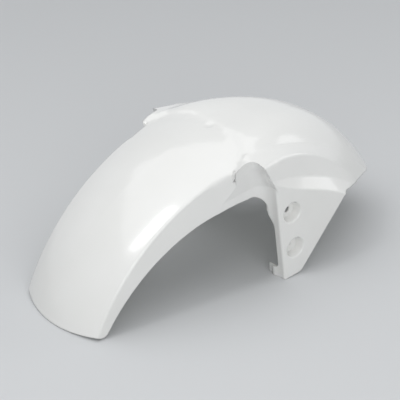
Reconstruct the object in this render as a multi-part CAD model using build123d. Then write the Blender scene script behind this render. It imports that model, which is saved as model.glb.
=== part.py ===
from build123d import *
from dataclasses import dataclass
from math import cos, exp, radians, sin
import os

# Front mudguard of a road motorcycle, one moulding of glass-fibre laminate.
# It is drawn about the wheel axle: X points forward, Y to the left and Z up along
# the fork legs. A section angle is counted from Z towards X, so the long tail
# behind the fork has negative angles. Sizes are in millimetres. The left half is
# modelled and mirrored, and the whole is then turned to lie on its tail and toes.

# Laminate
wall = 2.5
crown_radius = 317.0
shoulder_radius = 300.0

# Plane of the wing plates, from which the other widths are set inward
plate_half_width = 119.0

# Tail behind the fork
tail_end_angle = -58.2
tail_end_inset = 41.0
tail_end_half_width = plate_half_width - tail_end_inset
tail_fork_inset = 33.0
tail_fork_half_width = plate_half_width - tail_fork_inset
tail_crest_inset = 22.0
tail_crest_half_width = plate_half_width - tail_crest_inset
tail_flare_angle = 8.0
tail_draft_angle = 3.0
under_crest_angle = 5.0
tail_end_depth = 13.5
tail_fork_depth = 54.0
tail_end_bulge = 12.0
tail_corner_radius = 11.0
shoulder_round = 4.0

# Crest across the crown above the fork legs, and the ramp that falls behind it
crest_forward = 26.0
crest_inset = 37.0
crest_half_width = plate_half_width - crest_inset
crest_bow = 1.5
crest_end_forward = 4.0
crest_end_inset = 15.0
crest_end_half_width = plate_half_width - crest_end_inset
crest_turn_radius = 16.0
ramp_run_per_fall = 2.0

# Fork-leg recess in each side
recess_forward = 26.0
recess_inset = 29.0
recess_half_width = plate_half_width - recess_inset
recess_corner_radius = 21.0
recess_shoulder_height = 260.0
recess_top_height = 302.0
recess_top_forward = 10.5
recess_top_inset = 21.0
recess_top_half_width = plate_half_width - recess_top_inset
recess_top_corner_radius = 9.0
recess_edge_round = 20.0

# Wing plate in front of the fork leg, seen from the side
toe_height = 113.7
toe_front = 55.5
toe_front_radius = 11.0
wing_front = 149.0
wing_front_height = 195.0
wing_front_round = 12.0
wing_rear_round = 3.0
wing_top_round = 4.0
tip_forward = 276.0
tip_height = 144.0

# Rear flange of the wing and its toe tab, seen from behind
flange_width = 11.5
tab_height = 15.0
tab_reach = 32.0
tab_lean = 1.5
tab_inner_round = 6.0
tab_outer_round = 2.5
flange_top_height = 224.0
flange_bend_height = 26.0

# Bolt pockets in the wing plate
pocket_forward = 49.5
upper_pocket_drop = 17.5
pocket_spacing = 57.0
pocket_rim_radius = 15.0
pocket_rim_round = 2.5
pocket_floor_radius = 11.0
pocket_depth = 11.5
bolt_hole_radius = 4.25
pip_radius = 2.0
pip_height = 1.0

# Round dimple on the centre line, just behind the crest
dimple_back = 9.0
dimple_radius = 6.0
dimple_depth = 1.6


@dataclass(frozen=True)
class Rail:
    """Feature line along the front: a pair (half width, radius) at each rail angle."""

    crest: tuple
    fork: tuple
    nose: tuple
    tip: tuple

    @classmethod
    def inside_plate(cls, *pairs):
        """Line whose widths are given as insets from the wing plate."""
        return cls(*((plate_half_width - inset, radius) for inset, radius in pairs))

    def at(self, angle):
        """Point of the smooth cubic line through the four pairs, at a section angle."""
        width = radius = 0.0
        pairs = (self.crest, self.fork, self.nose, self.tip)
        for here, pair in zip(rail_angles, pairs):
            weight = 1.0
            for other in rail_angles:
                if other != here:
                    weight *= (angle - other) / (here - other)
            width += weight * pair[0]
            radius += weight * pair[1]
        return (width, radius)


# The crown is flat and wide at the crest and grows round towards the tip. Ridge and
# fold are the creases of the flank. The flank runs on past the wing plate, which
# ends it along the top crease of the wing.
rail_angles = (0, 24, 48, 72)
crown_rail = Rail((0, crown_radius - 1.5), (0, crown_radius + 9), (0, crown_radius + 1), (0, crown_radius - 11))
valley_rail = Rail.inside_plate((29, 309), (39.5, 296.5), (54, 289), (71, 300))
ridge_rail = Rail.inside_plate((-2, 301.5), (21.5, 287), (32, 265.5), (51, 275))
fold_rail = Rail.inside_plate((-3, 284), (12.5, 260), (21, 256), (39, 246))
flank_rail = Rail.inside_plate((-11, 240), (-11.5, 230), (0, 238), (31, 205))
upper_pocket_height = flank_rail.fork[1] - upper_pocket_drop
lower_pocket_height = upper_pocket_height - pocket_spacing
valley_round = 10.0
ridge_round = 6.0
fold_round = 8.0
crest_fullness = 4.0
fullness_fade = 15.0
front_start_angle = -4.0
front_end_angle = 70.0
end_clearance = 0.5

# Space well outside the moulding, for the cutting forms
reach = 4 * shoulder_radius
hollow_radius = 0.3 * shoulder_radius


def polar(angle, radius):
    """Side-view point at a section angle and a radius about the axle."""
    return (radius * sin(radians(angle)), radius * cos(radians(angle)))


def even_angles(first, last, count):
    """Section angles evenly spaced from the first to the last."""
    return [first + (last - first) * step / (count - 1) for step in range(count)]


def section_plane(angle):
    """Plane through the axle: local x is the width, local y the radius."""
    tangent = (cos(radians(angle)), 0, -sin(radians(angle)))
    return Plane(origin=(0, 0, 0), x_dir=(0, 1, 0), z_dir=tangent)


def side_prism(face, near, far):
    """Prism of a side-view face, from one half width out to another."""
    return extrude(Plane.XZ.offset(-near) * face, -(far - near))


def crown_points(edge, centre, fullness):
    """Half crown from the centre line out to its edge, flatter for more fullness."""
    half_width, edge_radius = edge
    drop = centre - edge_radius
    shares = (0.0, 0.35, 0.65, 0.85, 1.0)
    return [(half_width * share, centre - drop * share**fullness) for share in shares]


def inset_points(points, amount):
    """Half section moved inward by a wall, each corner along its bisector."""
    mirrored = [(-points[1][0], points[1][1])] + points
    moved = []
    for before, here, after in zip(mirrored, points, points[1:]):
        arriving = (Vector(*here) - Vector(*before)).normalized()
        leaving = (Vector(*after) - Vector(*here)).normalized()
        normals = Vector(arriving.Y, -arriving.X) + Vector(leaving.Y, -leaving.X)
        place = Vector(*here) + normals * (2 * amount / normals.length**2)
        moved.append((place.X, place.Y))
    last = points[-1]
    return moved + [(last[0] - amount, last[1])]


def half_edges(crown, side):
    """Edges of a half section: a smooth crown that is level at the centre, then the side."""
    leaving = (crown[-1][0] - crown[-2][0], crown[-1][1] - crown[-2][1])
    return Spline(*crown, tangents=[(1, 0), leaving]) + Polyline(crown[-1], *side)


def filled_face(angle, crown, side, rounds, inset):
    """Half section filled down to the hollow radius, inset by a wall where asked.

    The rounds are the radii of the corners from the crown's edge on, negative where
    the corner is hollow, so that the wall takes from the one and adds to the other.
    """
    points = crown + side
    if inset:
        points = inset_points(points, inset)
    count = len(crown)
    floor = hollow_radius - 4 * inset
    below = [points[-1], (points[-1][0], floor), (0, floor), points[0]]
    face = make_face(half_edges(points[:count], points[count:]) + Polyline(*below))
    for corner, radius in zip(points[count - 1:], rounds):
        face = fillet(face.vertices().sort_by_distance(corner)[0], abs(radius - inset))
    return section_plane(angle) * face


def tail_half_width(angle):
    """Half width of the tail: an even taper, then a short flare up to the crest."""
    share = 1 - angle / tail_end_angle
    half_width = tail_end_half_width + share * (tail_fork_half_width - tail_end_half_width)
    flare = exp(angle / tail_flare_angle)
    return half_width + flare * (tail_crest_half_width - tail_fork_half_width)


def tail_loft(inset):
    """Half tail from beyond its end to below the crest, through the given half section."""
    faces = []
    overrun = end_clearance if inset else 0
    for angle in even_angles(tail_end_angle - 8 - overrun, under_crest_angle + overrun, 7):
        half_width = tail_half_width(angle)
        depth = 1.2 * tail_fork_depth
        crown = crown_points((half_width, shoulder_radius), crown_radius, 2.0)
        splay = depth * sin(radians(tail_draft_angle))
        side = [(half_width + splay, shoulder_radius - depth)]
        faces.append(filled_face(angle, crown, side, (shoulder_round,), inset))
    return loft(faces)


def front_loft(inset):
    """Half front from under the ramp to beyond the tip, through the given half section."""
    overrun = end_clearance if inset else 0
    faces = []
    for angle in even_angles(front_start_angle - overrun, front_end_angle + overrun, 6):
        fullness = 2 + crest_fullness * exp(-angle / fullness_fade)
        crown = crown_points(valley_rail.at(angle), crown_rail.at(angle)[1], fullness)
        side = [rail.at(angle) for rail in (ridge_rail, fold_rail, flank_rail)]
        rounds = (-valley_round, ridge_round, -fold_round)
        faces.append(filled_face(angle, crown, side, rounds, inset))
    return loft(faces)


def beyond_plate(inset):
    """Everything further out than the wing plate."""
    return Pos(0, plate_half_width - inset + reach / 2, 0) * Box(reach, reach, reach)


def crest_cut(inset):
    """Space behind the crest line, swept along the ramp's slope."""
    corner = (crest_end_forward - crest_turn_radius, crest_end_half_width + 2 * crest_turn_radius)
    outline = make_face(
        Polyline(
            (-reach, 0),
            (crest_forward, 0),
            (crest_forward - crest_bow, crest_half_width),
            (crest_end_forward, crest_end_half_width),
            corner,
            (-reach, corner[1]),
            close=True,
        )
    )
    turn = outline.vertices().sort_by_distance((crest_forward - crest_bow, crest_half_width))[0]
    outline = fillet(turn, crest_turn_radius)
    slope = Vector(-ramp_run_per_fall, 0, -1).normalized()
    inward = Vector(1, 0, -ramp_run_per_fall).normalized() * inset
    base = Pos(inward.X, 0, crown_radius + inward.Z) * outline
    fall = 3 * (crown_radius - shoulder_radius)
    return extrude(base, fall, dir=slope) + extrude(base, fall, dir=-slope)


def recess_plan(forward, half_width, corner_radius):
    """Plan of the fork-leg recess: a rear-facing wall, a round corner and a side wall."""
    box = Pos(forward - reach / 2, half_width + reach / 2) * Rectangle(reach, reach)
    corner = box.vertices().sort_by_distance((forward, half_width))[0]
    return fillet(corner, corner_radius)


def recess(inset):
    """Fork-leg recess: upright below, leaning outward and back to its top."""
    lower = recess_plan(recess_forward + inset, recess_half_width - inset, recess_corner_radius + inset)
    upper = recess_plan(
        recess_top_forward + inset, recess_top_half_width - inset, recess_top_corner_radius + inset
    )
    upright = extrude(lower, recess_shoulder_height)
    leaning = loft([Pos(0, 0, recess_shoulder_height) * lower, Pos(0, 0, recess_top_height) * upper])
    above = extrude(Pos(0, 0, recess_top_height) * upper, crown_radius - recess_top_height + 40)
    return upright + leaning + above


def wheel_space():
    """Side view of all that lies inside the free edges, from the tail to the tip."""
    end_radius = shoulder_radius - tail_end_depth
    fork_radius = shoulder_radius - tail_fork_depth
    corner_top = shoulder_radius - 0.1 * tail_end_depth
    flange_back = recess_forward - wall
    run = tip_forward - wing_front
    drop = wing_front_height - tip_height
    beyond = tail_end_angle - 15
    wing_side = Polyline(
        (0, fork_radius),
        (flange_back, fork_radius),
        (flange_back, toe_height),
        (toe_front, toe_height - 1),
        (wing_front, wing_front_height),
        (tip_forward + run, tip_height - drop),
        (tip_forward, -reach),
        (-reach, -reach),
        polar(beyond, corner_top),
        polar(tail_end_angle, corner_top),
        polar(tail_end_angle, end_radius),
    )
    middle = polar(tail_end_angle / 2, (end_radius + fork_radius) / 2)
    tail_side = ThreePointArc(polar(tail_end_angle, end_radius), middle, (0, fork_radius))
    outline = make_face(wing_side + tail_side)
    rounds = (
        ((flange_back, fork_radius), recess_edge_round),
        ((toe_front, toe_height - 1), toe_front_radius),
        ((wing_front, wing_front_height), wing_front_round),
        (polar(tail_end_angle, end_radius), tail_corner_radius),
    )
    for place, radius in rounds:
        corner = outline.vertices().sort_by_distance(place)[0]
        outline = fillet(corner, radius)
    return side_prism(outline, -1, plate_half_width + 30)


def tail_end_cut():
    """Everything past the tail's end, whose middle bulges rearward."""
    along = (-cos(radians(tail_end_angle)), 0, sin(radians(tail_end_angle)))
    inward = (-sin(radians(tail_end_angle)), 0, -cos(radians(tail_end_angle)))
    x, z = polar(tail_end_angle, crown_radius)
    end_plane = Plane(origin=(x, 0, z), x_dir=along, z_dir=inward)
    width = tail_end_half_width
    edge = ThreePointArc((0, -width), (tail_end_bulge, 0), (0, width))
    far = 6 * tail_end_bulge
    past = Polyline((0, width), (0, 2 * width), (far, 2 * width), (far, -2 * width), (0, -2 * width), (0, -width))
    return extrude(end_plane * make_face(edge + past), 3 * tail_end_depth, both=True)


def flange_cut():
    """Rear view of what is open inside the wing's flange, above its toe tab."""
    flange_edge = plate_half_width - flange_width
    tab_top = toe_height + tab_height
    tab_edge = plate_half_width - tab_reach
    outline = make_face(
        Polyline(
            (0, 0),
            (tab_edge, 0),
            (tab_edge, toe_height),
            (tab_edge + tab_lean, tab_top),
            (flange_edge, tab_top),
            (flange_edge, flange_top_height - flange_bend_height),
            (recess_half_width + 4, flange_top_height + 4),
            (0, flange_top_height + 4),
            close=True,
        )
    )
    rounds = (
        ((tab_edge, toe_height), tab_outer_round),
        ((tab_edge + tab_lean, tab_top), tab_outer_round),
        ((flange_edge, tab_top), tab_inner_round),
        ((flange_edge, flange_top_height - flange_bend_height), flange_bend_height),
    )
    for place, radius in rounds:
        corner = outline.vertices().sort_by_distance(place)[0]
        outline = fillet(corner, radius)
    back = recess_forward - 1.2 * wall
    return extrude(Plane.YZ.offset(back) * outline, 3 * wall)


def toe_tab():
    """Flat tab that the flange turns into at its toe, before its edge is cut."""
    inner = plate_half_width - tab_reach - wall
    width = tab_reach
    height = 2 * tab_height
    return Pos(recess_forward + wall / 2, inner + width / 2, toe_height + height / 2) * Box(wall, width, height)


def pocket(height, grow):
    """Tapered round pocket in the wing plate, grown by a wall for its outside."""
    rim = plate_half_width - grow / 2
    floor = plate_half_width - pocket_depth - grow
    taper = Cone(pocket_floor_radius + grow, pocket_rim_radius + grow, rim - floor)
    return Pos(pocket_forward, (rim + floor) / 2, height) * (Rot(-90, 0, 0) * taper)


def wing_pockets(form):
    """Both pockets: the upper with its bolt hole, the lower blind with a small pip."""
    for height in (upper_pocket_height, lower_pocket_height):
        form = form + pocket(height, wall)
    for height in (upper_pocket_height, lower_pocket_height):
        form = form - pocket(height, 0)
    across = Rot(90, 0, 0) * Cylinder(bolt_hole_radius, 4 * wall)
    floor = plate_half_width - pocket_depth
    form = form - Pos(pocket_forward, floor, upper_pocket_height) * across
    pip = Rot(-90, 0, 0) * Cone(pip_radius, pip_radius / 2, pip_height + wall / 2)
    return form + Pos(pocket_forward, floor + (pip_height - wall / 2) / 2, lower_pocket_height) * pip


def half_form(inset):
    """Left half filled solid, outside for no inset and inside for an inset of one wall."""
    tail = tail_loft(inset)
    front = front_loft(inset) - beyond_plate(inset) - crest_cut(inset)
    return tail + front - recess(inset)


def wing_rounds(form):
    """Round the pocket rims, the wing's rear edge and its long top crease."""
    outer = form.edges().filter_by_position(Axis.Y, plate_half_width - 0.1, plate_half_width + 0.1)
    rims = outer.filter_by(GeomType.CIRCLE).filter_by(lambda edge: abs(edge.radius - pocket_rim_radius) < 0.1)
    form = fillet(rims, pocket_rim_round)
    outer = form.edges().filter_by_position(Axis.Y, plate_half_width - 0.1, plate_half_width + 0.1)
    rear = outer.filter_by(Axis.Z).filter_by_position(Axis.X, recess_forward - 0.1, recess_forward + 0.1)
    form = fillet(rear, wing_rear_round)
    outer = form.edges().filter_by_position(Axis.Y, plate_half_width - 0.1, plate_half_width + 0.1)
    crease = outer.filter_by(GeomType.BSPLINE).sort_by(SortBy.LENGTH)[-1]
    return fillet(crease, wing_top_round)


def half_shell():
    """Left half of the moulding: its outside form less its inside form, trimmed to its edges."""
    form = half_form(0) - half_form(wall) - wheel_space()
    form = form + toe_tab() - flange_cut() - tail_end_cut()
    return wing_rounds(wing_pockets(form))


def dimple(form):
    """Shallow round dimple in the crown, with the wall kept behind it."""
    ball = (dimple_radius**2 + dimple_depth**2) / (2 * dimple_depth)
    centre = Pos(crest_forward - dimple_back, 0, crown_radius + ball - dimple_depth)
    under = Pos(crest_forward - dimple_back, 0, crown_radius - wall - ball) * Box(6 * ball, 6 * ball, 2 * ball)
    swell = (centre * Sphere(ball + wall)) & under
    return form + swell - centre * Sphere(ball)


def lowest(corners, turn):
    """Lowest of some side-view corners once they are turned about the axle."""
    return min(z * cos(radians(turn)) - x * sin(radians(turn)) for x, z in corners)


def resting_turn(form):
    """Turn about the axle that brings the tail's end and the toes to one level."""
    corners = [(vertex.X, vertex.Z) for vertex in form.vertices()]
    tail = [corner for corner in corners if corner[0] < 0]
    toes = [corner for corner in corners if corner[0] > 0]
    low, high = -20.0, 20.0
    for _ in range(40):
        turn = (low + high) / 2
        if lowest(tail, turn) > lowest(toes, turn):
            high = turn
        else:
            low = turn
    return turn


def mudguard():
    """The whole moulding, lying on its tail and toes about its own base centre."""
    half = half_shell()
    whole = dimple(half + mirror(half, Plane.XZ))
    lying = whole.rotate(Axis.Y, resting_turn(whole))
    corners = lying.vertices()
    front = max(corner.X for corner in corners)
    back = min(corner.X for corner in corners)
    return Pos(-(front + back) / 2, 0, -min(corner.Z for corner in corners)) * lying


os.makedirs("parts", exist_ok=True)
shell = mudguard()
shell.label = "mudguard"
export_step(shell, "parts/mudguard.step")
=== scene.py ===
"""Looks of a white gelcoat motorcycle mudguard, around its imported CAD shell."""

import logging
from dataclasses import dataclass
from enum import Enum
from math import cos, radians, sin

import bmesh
import bpy
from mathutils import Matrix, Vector
from mathutils.kdtree import KDTree


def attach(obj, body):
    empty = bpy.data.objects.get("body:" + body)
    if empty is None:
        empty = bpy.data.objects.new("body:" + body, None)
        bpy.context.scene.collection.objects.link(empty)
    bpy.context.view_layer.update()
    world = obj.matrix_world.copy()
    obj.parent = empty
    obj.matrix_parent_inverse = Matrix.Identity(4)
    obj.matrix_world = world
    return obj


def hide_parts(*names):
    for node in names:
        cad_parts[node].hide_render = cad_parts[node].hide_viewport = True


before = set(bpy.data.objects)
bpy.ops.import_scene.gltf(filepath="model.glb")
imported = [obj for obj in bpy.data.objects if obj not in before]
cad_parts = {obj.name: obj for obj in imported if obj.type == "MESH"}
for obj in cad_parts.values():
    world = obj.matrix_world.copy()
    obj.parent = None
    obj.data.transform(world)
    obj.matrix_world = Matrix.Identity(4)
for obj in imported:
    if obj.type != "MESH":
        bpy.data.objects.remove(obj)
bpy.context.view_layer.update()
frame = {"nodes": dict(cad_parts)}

log = logging.getLogger("mudguard")

Colour = tuple[float, float, float]
Point = tuple[float, float, float]


class Rays(Enum):
    """Light Path outputs that see the pale backdrop and not the lamps' level."""

    CAMERA = "Is Camera Ray"
    GLOSSY = "Is Glossy Ray"
    TRANSMISSION = "Is Transmission Ray"


class NodeGraph:
    """Short way to add and join the nodes of one material or world."""

    def __init__(self, tree: bpy.types.NodeTree) -> None:
        """Start an empty graph.

        Args:
            tree: The node tree that the graph fills.
        """
        self.tree = tree
        self.tree.nodes.clear()

    def add(self, kind: str, **settings: object) -> bpy.types.Node:
        """Add a node.

        Args:
            kind: The node's Blender type.
            settings: Properties of the node, by name.

        Returns:
            The new node.
        """
        node = self.tree.nodes.new(kind)
        for name, value in settings.items():
            setattr(node, name, value)
        return node

    def feed(self, target: bpy.types.NodeSocket, source: object) -> None:
        """Join an output to an input, or set the input to a plain value.

        Args:
            target: The input socket.
            source: An output socket or a value.
        """
        if isinstance(source, bpy.types.NodeSocket):
            self.tree.links.new(source, target)
        else:
            target.default_value = source

    def math(self, operation: str, first: object, second: object = 0.0) -> bpy.types.NodeSocket:
        """Result of a Math node.

        Args:
            operation: The node's operation.
            first: Its first input.
            second: Its second input.

        Returns:
            The value socket.
        """
        node = self.add("ShaderNodeMath", operation=operation)
        self.feed(node.inputs[0], first)
        self.feed(node.inputs[1], second)
        return node.outputs["Value"]

    def vector(self, operation: str, first: object, second: object = (0.0, 0.0, 0.0)) -> bpy.types.Node:
        """Vector Math node.

        Args:
            operation: The node's operation.
            first: Its first vector.
            second: Its second vector.

        Returns:
            The node, whose outputs are Vector and Value.
        """
        node = self.add("ShaderNodeVectorMath", operation=operation)
        self.feed(node.inputs[0], first)
        self.feed(node.inputs[1], second)
        return node

    def noise(self, place: object, scale: float, detail: float = 2.0) -> bpy.types.NodeSocket:
        """Noise value at a place.

        Args:
            place: The coordinates' output socket.
            scale: Features per metre.
            detail: Octaves of finer noise.

        Returns:
            The noise value socket, from 0 to 1.
        """
        node = self.add("ShaderNodeTexNoise")
        self.feed(node.inputs["Vector"], place)
        node.inputs["Scale"].default_value = scale
        node.inputs["Detail"].default_value = detail
        return node.outputs["Fac"]

    def spread(
        self, value: object, low: float, high: float, start: float = 0.0, end: float = 1.0
    ) -> bpy.types.NodeSocket:
        """Value moved from one range to another.

        Args:
            value: The value's output socket.
            low: Result where the value is at its start.
            high: Result where the value is at its end.
            start: Value that gives the low result.
            end: Value that gives the high result.

        Returns:
            The clamped result socket.
        """
        node = self.add("ShaderNodeMapRange")
        self.feed(node.inputs["Value"], value)
        node.inputs["From Min"].default_value = start
        node.inputs["From Max"].default_value = end
        node.inputs["To Min"].default_value = low
        node.inputs["To Max"].default_value = high
        return node.outputs["Result"]

    def blend(self, share: object, first: object, second: object) -> bpy.types.NodeSocket:
        """Colour between two colours.

        Args:
            share: 0 for the first colour and 1 for the second.
            first: A colour or its socket.
            second: A colour or its socket.

        Returns:
            The colour socket.
        """
        node = self.add("ShaderNodeMix", data_type="RGBA")
        self.feed(node.inputs["Factor"], share)
        for name, colour in (("A", first), ("B", second)):
            if isinstance(colour, tuple):
                colour = (*colour, 1.0)
            socket = next(s for s in node.inputs if s.name == name and s.type == "RGBA")
            self.feed(socket, colour)
        return next(s for s in node.outputs if s.type == "RGBA")

    def relief(
        self, height: object, depth: float, strength: float, normal: object = None
    ) -> bpy.types.NodeSocket:
        """Bump from a height.

        Args:
            height: The height's output socket, from 0 to 1.
            depth: Depth of the relief in metres.
            strength: Share of it that shows.
            normal: Normal that the bump adds to, or None for the surface's own.

        Returns:
            The normal socket.
        """
        node = self.add("ShaderNodeBump")
        node.inputs["Strength"].default_value = strength
        node.inputs["Distance"].default_value = depth
        self.feed(node.inputs["Height"], height)
        if normal is not None:
            self.feed(node.inputs["Normal"], normal)
        return node.outputs["Normal"]


@dataclass(frozen=True)
class WheelFrame:
    """Frame of the wheel in the row's frame, in metres: up lies along the fork legs."""

    axle: Point = (0.0210, 0.0, -0.1158)
    lean: float = radians(7.9)

    def forward_axis(self) -> Vector:
        """Direction ahead, square to the fork legs.

        Returns:
            The unit vector.
        """
        return Vector((cos(self.lean), 0.0, sin(self.lean)))

    def forward(self, place: Vector) -> float:
        """Distance before the axle, square to the fork legs.

        Args:
            place: A point of the shell.

        Returns:
            The distance in metres.
        """
        return (place - Vector(self.axle)).dot(self.forward_axis())

    def height(self, place: Vector) -> float:
        """Height over the axle, along the fork legs.

        Args:
            place: A point of the shell.

        Returns:
            The height in metres.
        """
        return (place - Vector(self.axle)).dot(Vector((-sin(self.lean), 0.0, cos(self.lean))))

    def radial(self, place: Vector) -> Vector:
        """Way from the axle's line to a point.

        Args:
            place: A point of the shell.

        Returns:
            The way, square to the axle's line.
        """
        return Vector((place.x - self.axle[0], 0.0, place.z - self.axle[2]))


@dataclass(frozen=True)
class MouldedSide:
    """Where the moulding shows its smooth outer side and where its laid-up inner side.

    The outer side came off the mould: away from the axle, away from the middle plane,
    and rearward on the wing's flange. Lengths are in metres.
    """

    wheel: WheelFrame = WheelFrame()
    crown_inner_radius: float = 0.290
    crown_half_width: float = 0.072
    flange_forward: float = 0.0315
    flange_half_width: float = 0.085
    crown_facing: float = -0.82
    side_facing: float = -0.40
    flange_facing: float = 0.50

    def inner_share(self, graph: NodeGraph) -> bpy.types.NodeSocket:
        """Mask of the inner side.

        Args:
            graph: The material's graph.

        Returns:
            A socket that is 1 on the inner side and 0 on the outer side.
        """
        place = graph.add("ShaderNodeTexCoord")
        normal = place.outputs["Normal"]
        from_axle = graph.vector("SUBTRACT", place.outputs["Object"], self.wheel.axle)
        radial = graph.vector("MULTIPLY", from_axle.outputs["Vector"], (1.0, 0.0, 1.0))
        radius = graph.vector("LENGTH", radial.outputs["Vector"]).outputs["Value"]
        outward = graph.vector("NORMALIZE", radial.outputs["Vector"]).outputs["Vector"]
        facing_out = graph.vector("DOT_PRODUCT", normal, outward).outputs["Value"]
        axes = graph.add("ShaderNodeSeparateXYZ")
        graph.feed(axes.inputs["Vector"], place.outputs["Object"])
        width = graph.math("ABSOLUTE", axes.outputs["Y"])
        facing = graph.add("ShaderNodeSeparateXYZ")
        graph.feed(facing.inputs["Vector"], normal)
        side = graph.math("SIGN", axes.outputs["Y"])
        facing_side = graph.math("MULTIPLY", facing.outputs["Y"], side)

        high = graph.math("GREATER_THAN", radius, self.crown_inner_radius)
        middle = graph.math("LESS_THAN", width, self.crown_half_width)
        inward = graph.math("LESS_THAN", facing_out, self.crown_facing)
        crown = graph.math("MULTIPLY", graph.math("MAXIMUM", high, middle), inward)
        walls = graph.math("LESS_THAN", facing_side, self.side_facing)
        forward_axis = tuple(self.wheel.forward_axis())
        forward = graph.vector("DOT_PRODUCT", from_axle.outputs["Vector"], forward_axis)
        behind = graph.math("LESS_THAN", forward.outputs["Value"], self.flange_forward)
        wide = graph.math("GREATER_THAN", width, self.flange_half_width)
        ahead = graph.math("GREATER_THAN", facing.outputs["X"], self.flange_facing)
        flange = graph.math("MULTIPLY", graph.math("MULTIPLY", behind, wide), ahead)
        return graph.math("MAXIMUM", graph.math("MAXIMUM", crown, walls), flange)


@dataclass(frozen=True)
class Gelcoat:
    """Glossy white gelcoat of the outer side, with faint waves of a hand-laid wall."""

    white: Colour = (0.80, 0.80, 0.785)
    shade: Colour = (0.765, 0.765, 0.745)
    gloss: tuple[float, float] = (0.13, 0.21)
    tone_scale: float = 9.0
    tone_detail: float = 3.0
    haze_scale: float = 38.0
    haze_detail: float = 4.0
    noise_span: tuple[float, float] = (0.3, 0.7)
    edge_round: float = 0.0022
    edge_samples: int = 6
    wave_scale: float = 16.0
    wave_depth: float = 0.0012
    wave_strength: float = 0.10
    peel_scale: float = 420.0
    peel_depth: float = 0.00012
    peel_strength: float = 0.20
    plain_detail: float = 1.0
    refraction: float = 1.5
    coat_share: float = 0.35
    coat_roughness: float = 0.06

    def shader(self, graph: NodeGraph) -> bpy.types.NodeSocket:
        """Shader of the outer side.

        Args:
            graph: The material's graph.

        Returns:
            The shader socket.
        """
        place = graph.add("ShaderNodeTexCoord").outputs["Object"]
        tone = graph.noise(place, self.tone_scale, self.tone_detail)
        haze = graph.noise(place, self.haze_scale, self.haze_detail)
        rounded = graph.add("ShaderNodeBevel", samples=self.edge_samples)
        rounded.inputs["Radius"].default_value = self.edge_round
        wave = graph.noise(place, self.wave_scale, self.plain_detail)
        waves = graph.relief(wave, self.wave_depth, self.wave_strength, rounded.outputs["Normal"])
        grain = graph.noise(place, self.peel_scale, self.plain_detail)
        peel = graph.relief(grain, self.peel_depth, self.peel_strength, waves)
        coat = graph.add("ShaderNodeBsdfPrincipled")
        shaded = graph.spread(tone, 0.0, 1.0, *self.noise_span)
        graph.feed(coat.inputs["Base Color"], graph.blend(shaded, self.white, self.shade))
        graph.feed(coat.inputs["Roughness"], graph.spread(haze, *self.gloss, *self.noise_span))
        graph.feed(coat.inputs["Normal"], peel)
        coat.inputs["IOR"].default_value = self.refraction
        coat.inputs["Coat Weight"].default_value = self.coat_share
        coat.inputs["Coat Roughness"].default_value = self.coat_roughness
        return coat.outputs["BSDF"]


@dataclass(frozen=True)
class ChoppedMat:
    """Resin-wetted chopped strand mat of the inner side."""

    resin: Colour = (0.52, 0.53, 0.49)
    strand: Colour = (0.70, 0.71, 0.66)
    strand_width: float = 620.0
    strand_stretch: float = 0.06
    strand_span: tuple[float, float] = (0.56, 0.72)
    strand_detail: float = 1.0
    roughness: tuple[float, float] = (0.42, 0.62)
    relief_depth: float = 0.0005
    relief_strength: float = 0.55
    strand_turns: tuple[Point, ...] = ((0.3, 0.9, 0.2), (1.4, 0.2, 1.1), (0.8, 1.9, 2.2), (2.3, 1.2, 0.6))

    def strands(self, graph: NodeGraph) -> bpy.types.NodeSocket:
        """Short strands that lie in several directions.

        Args:
            graph: The material's graph.

        Returns:
            A socket that is 1 on a strand and 0 between strands.
        """
        place = graph.add("ShaderNodeTexCoord").outputs["Object"]
        strongest = None
        for turn in self.strand_turns:
            turned = graph.add("ShaderNodeMapping")
            graph.feed(turned.inputs["Vector"], place)
            turned.inputs["Rotation"].default_value = turn
            turned.inputs["Scale"].default_value = (1.0, 1.0, self.strand_stretch)
            fibre = graph.noise(turned.outputs["Vector"], self.strand_width, self.strand_detail)
            layer = graph.spread(fibre, 0.0, 1.0, *self.strand_span)
            strongest = layer if strongest is None else graph.math("MAXIMUM", strongest, layer)
        return strongest

    def shader(self, graph: NodeGraph) -> bpy.types.NodeSocket:
        """Shader of the inner side.

        Args:
            graph: The material's graph.

        Returns:
            The shader socket.
        """
        strands = self.strands(graph)
        mat = graph.add("ShaderNodeBsdfPrincipled")
        graph.feed(mat.inputs["Base Color"], graph.blend(strands, self.resin, self.strand))
        graph.feed(mat.inputs["Roughness"], graph.spread(strands, *self.roughness))
        graph.feed(mat.inputs["Normal"], graph.relief(strands, self.relief_depth, self.relief_strength))
        return mat.outputs["BSDF"]


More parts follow.
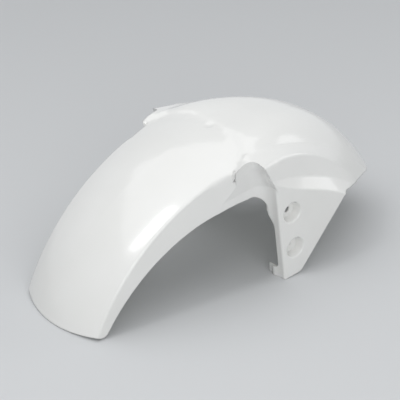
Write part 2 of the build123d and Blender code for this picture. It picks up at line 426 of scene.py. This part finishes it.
@dataclass(frozen=True)
class SoftCrest:
    """Soft blend of the crest's ramp into the tail behind it and the hood before it.

    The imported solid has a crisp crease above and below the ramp, where the moulding
    flows over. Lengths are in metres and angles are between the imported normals: the
    creases turn by an angle in the crease range, and the free edges by more.
    """

    wheel: WheelFrame = WheelFrame()
    span: tuple[float, float] = (-0.040, 0.034)
    lowest_radius: float = 0.285
    crease: tuple[float, float] = (radians(6), radians(50))
    reach: float = 0.014
    fade: float = 0.5
    spacing: float = 0.0028
    points_per_spacing: int = 2
    splits: int = 6
    passes: int = 34
    step: float = 0.5
    dimple_forward: float = 0.017
    dimple_radius: float = 0.0085
    dimple_depth: float = 0.0011
    gap_low: Point = (-0.0245, 0.0890, 0.2845)
    gap_high: Point = (-0.0175, 0.0995, 0.3030)
    merge_distance: float = 2e-6
    normals: str = "packed_normal"
    shortest_normal: float = 0.5
    normal_gain: float = 2.0
    old_shading: tuple[str, ...] = ("custom_normal", "sharp_face", "sharp_edge")

    def turn(self, edge: bmesh.types.BMEdge, packed: bmesh.types.BMLayerItem) -> float:
        """Angle between the two faces' packed normals along an edge.

        Args:
            edge: An edge of the shell.
            packed: The corner layer of packed normals.

        Returns:
            The smaller of the angles at the edge's two ends, in radians.
        """
        if len(edge.link_loops) != 2:
            return 0.0
        one, other = edge.link_loops
        here = one[packed].angle(other.link_loop_next[packed], 0.0)
        there = one.link_loop_next[packed].angle(other[packed], 0.0)
        return min(here, there)

    def crease_points(self, form: bmesh.types.BMesh, packed: bmesh.types.BMLayerItem) -> KDTree:
        """Points along the ramp's creases.

        Args:
            form: The merged shell.
            packed: The corner layer of packed normals.

        Returns:
            A tree of the points.
        """
        points = []
        for edge in form.edges:
            start, end = (vert.co for vert in edge.verts)
            middle = (start + end) / 2
            if self.wheel.radial(middle).length < self.lowest_radius:
                continue
            if not self.span[0] < self.wheel.forward(middle) < self.span[1]:
                continue
            if self.crease[0] < self.turn(edge, packed) < self.crease[1]:
                count = max(1, round((end - start).length / self.spacing * self.points_per_spacing))
                points += [start.lerp(end, index / count) for index in range(count + 1)]
        tree = KDTree(len(points))
        for index, point in enumerate(points):
            tree.insert(point, index)
        tree.balance()
        log.info("ramp creases give %d points", len(points))
        return tree

    def share(self, place: Vector, creases: KDTree) -> float:
        """How fully a point takes part in the blend.

        Args:
            place: A point of the shell.
            creases: The tree of crease points.

        Returns:
            1 near a crease, 0 at the blend's reach.
        """
        distance = creases.find(place)[2]
        run = min(1.0, max(0.0, (1.0 - distance / self.reach) / self.fade))
        return run * run * (3.0 - 2.0 * run)

    def gap_rims(
        self, form: bmesh.types.BMesh, packed: bmesh.types.BMLayerItem
    ) -> list[list[bmesh.types.BMVert]]:
        """Rims of the small gaps between the tail's shoulders and the fork recesses.

        Args:
            form: The merged shell.
            packed: The corner layer of packed normals.

        Returns:
            The rim of each side.
        """
        rims = [[], []]
        for vert in form.verts:
            place = (self.wheel.forward(vert.co), abs(vert.co.y), self.wheel.height(vert.co))
            limits = zip(self.gap_low, place, self.gap_high)
            if not all(low < part < high for low, part, high in limits):
                continue
            if any(self.turn(edge, packed) >= self.crease[1] for edge in vert.link_edges):
                rims[vert.co.y > 0.0].append(vert)
        return rims

    def close_gap(self, form: bmesh.types.BMesh, rim: list[Vector]) -> None:
        """Fill one gap with a small solid piece of wall, flush with its rim.

        Args:
            form: The merged shell.
            rim: Places of the rim's vertices.
        """
        corners = [form.verts.new(place) for place in rim]
        bmesh.ops.convex_hull(form, input=corners)
        loose = [corner for corner in corners if not corner.link_faces]
        bmesh.ops.delete(form, geom=loose, context="VERTS")

    def refine(self, form: bmesh.types.BMesh, creases: KDTree) -> None:
        """Divide the long edges near the creases.

        Args:
            form: The merged shell.
            creases: The tree of crease points.
        """
        for _ in range(self.splits):
            near = {vert for vert in form.verts if creases.find(vert.co)[2] < self.reach + self.spacing}
            long_edges = [
                edge
                for edge in form.edges
                if edge.calc_length() > self.spacing and near.issuperset(edge.verts)
            ]
            if not long_edges:
                break
            bmesh.ops.subdivide_edges(form, edges=long_edges, cuts=1)
            bmesh.ops.triangulate(form, faces=[face for face in form.faces if len(face.verts) > 3])

    def relax(
        self, form: bmesh.types.BMesh, creases: KDTree, packed: bmesh.types.BMLayerItem
    ) -> None:
        """Let the creases sink into their surroundings, with free edges kept as lines.

        Args:
            form: The merged shell.
            creases: The tree of crease points.
            packed: The corner layer of packed normals.
        """
        members = []
        for vert in form.verts:
            share = self.share(vert.co, creases)
            if share <= 0.0:
                continue
            hard = [edge for edge in vert.link_edges if self.turn(edge, packed) >= self.crease[1]]
            if hard and len(hard) != 2:
                continue
            around = [edge.other_vert(vert) for edge in (hard or vert.link_edges)]
            members.append((vert, share * self.step, around))
        for _ in range(self.passes):
            moves = []
            for vert, amount, around in members:
                middle = sum((other.co for other in around), Vector()) / len(around)
                moves.append((middle - vert.co) * amount)
            for (vert, _, _), move in zip(members, moves):
                vert.co += move

    def press_dimple(self, form: bmesh.types.BMesh) -> None:
        """Press the round dimple into the blended ramp.

        Args:
            form: The merged shell.
        """
        for vert in form.verts:
            radial = self.wheel.radial(vert.co)
            if radial.length < self.lowest_radius:
                continue
            distance = Vector((self.wheel.forward(vert.co) - self.dimple_forward, vert.co.y)).length
            if distance < self.dimple_radius:
                fall = (1.0 - (distance / self.dimple_radius) ** 2) ** 2
                vert.co -= radial.normalized() * self.dimple_depth * fall

    def merged(self, source: bpy.types.Mesh) -> bmesh.types.BMesh:
        """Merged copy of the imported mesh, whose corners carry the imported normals.

        Args:
            source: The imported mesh, which stays as it is.

        Returns:
            The merged shell.
        """
        copy = source.copy()
        layer = copy.attributes.new(self.normals, "FLOAT_VECTOR", "CORNER")
        for index, corner in enumerate(copy.corner_normals):
            layer.data[index].vector = corner.vector
        form = bmesh.new()
        form.from_mesh(copy)
        bpy.data.meshes.remove(copy)
        bmesh.ops.remove_doubles(form, verts=form.verts[:], dist=self.merge_distance)
        return form

    def shade(self, mesh: bpy.types.Mesh, creases: KDTree) -> None:
        """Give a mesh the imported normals, and its own normals near the creases.

        Args:
            mesh: The blended mesh.
            creases: The tree of crease points.
        """
        for name in self.old_shading:
            if name in mesh.attributes:
                mesh.attributes.remove(mesh.attributes[name])
        mesh.set_sharp_from_angle(angle=self.crease[1])
        shares = [self.share(vert.co, creases) for vert in mesh.vertices]
        packed = [Vector(item.vector) for item in mesh.attributes[self.normals].data]
        normals = []
        for index, corner in enumerate(mesh.corner_normals):
            kept = packed[index]
            share = min(1.0, self.normal_gain * shares[mesh.loops[index].vertex_index])
            if kept.length < self.shortest_normal:
                share = 1.0
            normals.append(kept.lerp(Vector(corner.vector), share).normalized())
        mesh.attributes.remove(mesh.attributes[self.normals])
        mesh.normals_split_custom_set(normals)

    def blend(self, source: bpy.types.Mesh) -> bpy.types.Mesh:
        """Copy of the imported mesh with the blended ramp.

        Args:
            source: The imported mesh, which stays as it is.

        Returns:
            The new mesh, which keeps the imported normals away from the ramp.
        """
        form = self.merged(source)
        packed = form.loops.layers.float_vector[self.normals]
        creases = self.crease_points(form, packed)
        self.refine(form, creases)
        rims = self.gap_rims(form, packed)
        self.relax(form, creases, packed)
        self.press_dimple(form)
        for rim in [[vert.co.copy() for vert in rim] for rim in rims]:
            log.info("gap rim has %d corners", len(rim))
            self.close_gap(form, rim)
        form.normal_update()
        blended = bpy.data.meshes.new("mudguard_soft_crest")
        form.to_mesh(blended)
        form.free()
        self.shade(blended, creases)
        return blended


@dataclass(frozen=True)
class Shell:
    """The moulded shell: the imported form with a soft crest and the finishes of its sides."""

    node: str = "mudguard"
    crest: SoftCrest = SoftCrest()
    side: MouldedSide = MouldedSide()
    outside: Gelcoat = Gelcoat()
    inside: ChoppedMat = ChoppedMat()

    def finish(self) -> bpy.types.Material:
        """Material that shows gelcoat outside and strand mat inside.

        Returns:
            The new material.
        """
        material = bpy.data.materials.new("white_gelcoat_over_mat")
        material.use_nodes = True
        graph = NodeGraph(material.node_tree)
        sides = graph.add("ShaderNodeMixShader")
        graph.feed(sides.inputs["Fac"], self.side.inner_share(graph))
        graph.feed(sides.inputs[1], self.outside.shader(graph))
        graph.feed(sides.inputs[2], self.inside.shader(graph))
        output = graph.add("ShaderNodeOutputMaterial")
        graph.feed(output.inputs["Surface"], sides.outputs["Shader"])
        return material

    def dress(self, nodes: dict[str, bpy.types.Object]) -> bpy.types.Object:
        """Stand the blended and finished shell in the CAD node's place.

        Args:
            nodes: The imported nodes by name.

        Returns:
            The dressed piece.
        """
        mesh = self.crest.blend(nodes[self.node].data)
        mesh.materials.clear()
        mesh.materials.append(self.finish())
        shell = bpy.data.objects.new("mudguard_shell", mesh)
        bpy.context.scene.collection.objects.link(shell)
        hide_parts(self.node)
        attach(shell, "root")
        return shell


def aim(holder: bpy.types.Object, place: Point, target: Point) -> None:
    """Put a lamp's or camera's holder at a place, in view of a target.

    Args:
        holder: The object that is placed.
        place: Where it stands.
        target: The point that it looks at.
    """
    holder.location = place
    holder.rotation_euler = (Vector(target) - Vector(place)).to_track_quat("-Z", "Y").to_euler()
    bpy.context.scene.collection.objects.link(holder)


@dataclass(frozen=True)
class Softbox:
    """Rectangular soft lamp, in metres and watts."""

    name: str
    place: Point
    target: Point
    size: tuple[float, float]
    power: float

    def hang(self) -> None:
        """Hang the lamp in its place."""
        lamp = bpy.data.lights.new(self.name, "AREA")
        lamp.shape = "RECTANGLE"
        lamp.size, lamp.size_y = self.size
        lamp.energy = self.power
        aim(bpy.data.objects.new(self.name, lamp), self.place, self.target)


@dataclass(frozen=True)
class Studio:
    """Pale floor, pale surroundings and soft lamps."""

    floor_size: float = 8.0
    floor_colour: Colour = (0.60, 0.61, 0.62)
    floor_roughness: float = 0.75
    floor_fade: tuple[float, float] = (1.0, 3.2)
    surround: Colour = (0.86, 0.88, 0.90)
    ambient: float = 0.42
    backdrop: float = 0.95
    lamps: tuple[Softbox, ...] = (
        Softbox("overhead_softbox", (-0.2, 0.2, 2.2), (0.0, 0.0, 0.1), (3.2, 3.0), 30.0),
        Softbox("camera_side_softbox", (-0.9, -1.7, 0.9), (0.0, 0.0, 0.1), (1.6, 1.2), 15.0),
        Softbox("tail_strip", (-0.89, 0.05, 1.42), (-0.15, 0.0, 0.1), (0.16, 0.8), 2.4),
        Softbox("front_softbox", (1.9, -0.8, 0.9), (0.1, 0.0, 0.1), (1.2, 1.0), 5.0),
    )

    def floor(self) -> bpy.types.Object:
        """Plain floor under the part, which fades into the room with distance.

        Returns:
            The floor's object.
        """
        mesh = bpy.data.meshes.new("floor")
        plane = bmesh.new()
        bmesh.ops.create_grid(plane, x_segments=1, y_segments=1, size=self.floor_size / 2)
        plane.to_mesh(mesh)
        plane.free()
        floor = bpy.data.objects.new("floor", mesh)
        bpy.context.scene.collection.objects.link(floor)
        material = bpy.data.materials.new("plain_floor")
        material.use_nodes = True
        graph = NodeGraph(material.node_tree)
        paint = graph.add("ShaderNodeBsdfPrincipled")
        paint.inputs["Base Color"].default_value = (*self.floor_colour, 1.0)
        paint.inputs["Roughness"].default_value = self.floor_roughness
        place = graph.add("ShaderNodeTexCoord").outputs["Object"]
        distance = graph.vector("LENGTH", place).outputs["Value"]
        fading = graph.add("ShaderNodeMixShader")
        graph.feed(fading.inputs["Fac"], graph.spread(distance, 0.0, 1.0, *self.floor_fade))
        graph.feed(fading.inputs[1], paint.outputs["BSDF"])
        graph.feed(fading.inputs[2], graph.add("ShaderNodeBsdfTransparent").outputs["BSDF"])
        output = graph.add("ShaderNodeOutputMaterial")
        graph.feed(output.inputs["Surface"], fading.outputs["Shader"])
        mesh.materials.append(material)
        return floor

    def surroundings(self) -> None:
        """World that lights softly and shows pale to the camera and to reflections."""
        world = bpy.data.worlds.new("pale_room")
        bpy.context.scene.world = world
        world.use_nodes = True
        graph = NodeGraph(world.node_tree)
        light = graph.add("ShaderNodeBackground")
        light.inputs["Color"].default_value = (*self.surround, 1.0)
        light.inputs["Strength"].default_value = self.ambient
        backdrop = graph.add("ShaderNodeBackground")
        backdrop.inputs["Color"].default_value = (*self.surround, 1.0)
        backdrop.inputs["Strength"].default_value = self.backdrop
        path = graph.add("ShaderNodeLightPath")
        seen = path.outputs[Rays.CAMERA.value]
        for rays in (Rays.GLOSSY, Rays.TRANSMISSION):
            seen = graph.math("MAXIMUM", seen, path.outputs[rays.value])
        room = graph.add("ShaderNodeMixShader")
        graph.feed(room.inputs["Fac"], seen)
        graph.feed(room.inputs[1], light.outputs["Background"])
        graph.feed(room.inputs[2], backdrop.outputs["Background"])
        output = graph.add("ShaderNodeOutputWorld")
        graph.feed(output.inputs["Surface"], room.outputs["Shader"])

    def light(self) -> None:
        """Hang the soft lamps."""
        for lamp in self.lamps:
            lamp.hang()


@dataclass(frozen=True)
class PhotoCamera:
    """Camera fitted to the photograph, with no roll and no shift."""

    place: Point = (-1.15802, -1.3804, 1.07487)
    target: Point = (-0.0154, 0.0058, 0.0872)
    lens: float = 135.0
    sensor: float = 36.0
    clip_end: float = 50.0

    def stand(self) -> bpy.types.Object:
        """Put the camera in its place.

        Returns:
            The camera's object.
        """
        camera = bpy.data.cameras.new("photo_camera")
        camera.lens = self.lens
        camera.sensor_width = self.sensor
        camera.clip_end = self.clip_end
        holder = bpy.data.objects.new("photo_camera", camera)
        aim(holder, self.place, self.target)
        bpy.context.scene.camera = holder
        return holder


def main() -> None:
    """Dress the part and set its stage."""
    logging.basicConfig(level=logging.INFO, format="%(name)s: %(message)s")
    shell = Shell().dress(frame["nodes"])
    log.info("%s carries %s", shell.name, shell.data.materials[0].name)
    studio = Studio()
    studio.floor()
    studio.surroundings()
    studio.light()
    log.info("studio lit by %d lamps", len(studio.lamps))
    camera = PhotoCamera().stand()
    log.info("%s stands at %s", camera.name, tuple(camera.location))
    bpy.context.scene.view_settings.view_transform = "Standard"


if __name__ == "__main__":
    main()
